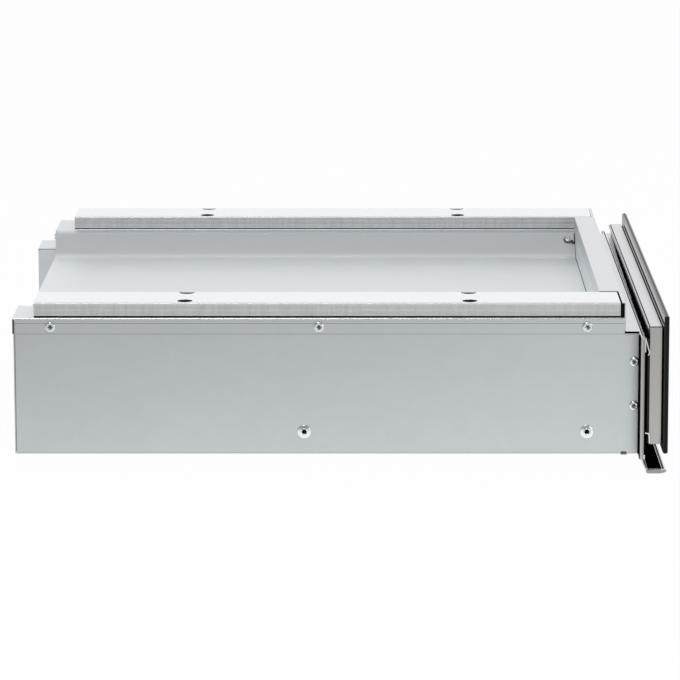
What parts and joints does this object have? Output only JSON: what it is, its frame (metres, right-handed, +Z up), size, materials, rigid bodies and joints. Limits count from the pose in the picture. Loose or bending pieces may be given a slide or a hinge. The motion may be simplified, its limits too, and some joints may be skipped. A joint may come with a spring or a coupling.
{
  "type": "built-in warming drawer",
  "caption": "Built-in warming drawer: galvanised casing with top rails and air trough, push-to-open glass front, telescopic runners, heated glass plate, knob and blower.",
  "frame": {"origin": "middle of the underside of the base plate, the face that rests on the cabinet shelf", "axes": "+X to the right along the front's width, +Y to the rear (the drawer opens towards -Y), +Z up"},
  "size_m": [0.595, 0.5902, 0.148],
  "materials": {
    "galvanised_steel": "zinc-coated sheet, satin, faint streaks",
    "white_aluminium": "natural anodised extrusion, matt",
    "stainless_steel": "brushed stainless sheet",
    "bright_steel": "polished edge",
    "zinc_screw": "bright zinc-plated",
    "black_glass": "flat toughened glass, black printed back",
    "plate_glass": "dark toughened glass",
    "black_rubber": "matt silicone and ribbed insert",
    "black_plastic": "fine grain",
    "grey_plastic": "smooth moulding",
    "insulation": "mineral fibre board",
    "heater_foil": "foil",
    "element_steel": "heat-tinted tube",
    "indicator_red": "clear tinted lens"
  },
  "bodies": {
    "cabinet": {"base_plate": "galvanised_steel", "side_panel_left": "galvanised_steel", "side_panel_right": "galvanised_steel", "top_cover": "galvanised_steel", "rear_panel": "galvanised_steel", "rear_louvres": "galvanised_steel", "top_rail_left": "white_aluminium", "top_rail_right": "white_aluminium", "front_cross_member": "galvanised_steel", "front_frame": "galvanised_steel", "seal_frame": "bright_steel", "bottom_trim": "stainless_steel", "trim_insert": "black_rubber", "cavity_ceiling": "stainless_steel", "ceiling_insulation": "insulation", "rear_partition": "stainless_steel", "fan_housing": "galvanised_steel", "fan_motor": "black_plastic", "heater_duct": "galvanised_steel", "heating_element": "element_steel", "temperature_limiter": "black_plastic", "power_module": "grey_plastic", "terminal_box": "galvanised_steel", "terminal_block": "grey_plastic", "cable_gland": "black_plastic", "earth_clip": "zinc_screw", "earth_screw": "zinc_screw", "latch_body": "black_plastic", "cover_screws": "zinc_screw", "frame_screws": "zinc_screw", "runner_rivets": "zinc_screw", "runner_outer_left": "galvanised_steel", "runner_outer_right": "galvanised_steel"},
    "runner_middle_left": {"runner_middle_left": "galvanised_steel"},
    "runner_middle_right": {"runner_middle_right": "galvanised_steel"},
    "drawer": {"runner_inner_left": "galvanised_steel", "runner_inner_right": "galvanised_steel", "glass_front": "black_glass", "glass_bonding": "black_rubber", "door_box": "stainless_steel", "door_insulation": "insulation", "door_gasket": "black_rubber", "door_screws": "zinc_screw", "drawer_tray": "stainless_steel", "base_insulation": "insulation", "heater_mat": "heater_foil", "heating_plate": "plate_glass", "control_console": "stainless_steel", "rotary_switch": "black_plastic", "indicator_light": "indicator_red"},
    "temperature_knob": {"temperature_knob": "black_plastic"},
    "latch_plunger": {"latch_plunger": "grey_plastic"},
    "fan_impeller": {"fan_impeller": "grey_plastic"}
  },
  "joints": [
    {"name": "drawer_slide", "type": "slide", "parent": "cabinet", "child": "drawer", "axis": [0, -1, 0], "range_m": [0, 0.43]},
    {"name": "middle_left_slide", "type": "slide", "parent": "cabinet", "child": "runner_middle_left", "axis": [0, -1, 0], "range_m": [0, 0.215]},
    {"name": "middle_right_slide", "type": "slide", "parent": "cabinet", "child": "runner_middle_right", "axis": [0, -1, 0], "range_m": [0, 0.215]},
    {"name": "knob_turn", "type": "hinge", "parent": "drawer", "child": "temperature_knob", "pos_m": [-0.205, -0.2596, 0.0503], "axis": [0, 0, -1], "range_deg": [0, 240]},
    {"name": "latch_push", "type": "slide", "parent": "cabinet", "child": "latch_plunger", "axis": [0, 1, 0], "range_m": [0, 0.006], "stiffness_N_per_m": 400, "springref_m": -0.006},
    {"name": "impeller_spin", "type": "hinge", "parent": "cabinet", "child": "fan_impeller", "pos_m": [0.06, 0.2285, 0.0385], "axis": [0, 0, 1], "continuous": true}
  ],
  "couplings": [
    {"joint": "middle_left_slide", "follows": "drawer_slide", "ratio": 0.5},
    {"joint": "middle_right_slide", "follows": "drawer_slide", "ratio": 0.5}
  ]
}
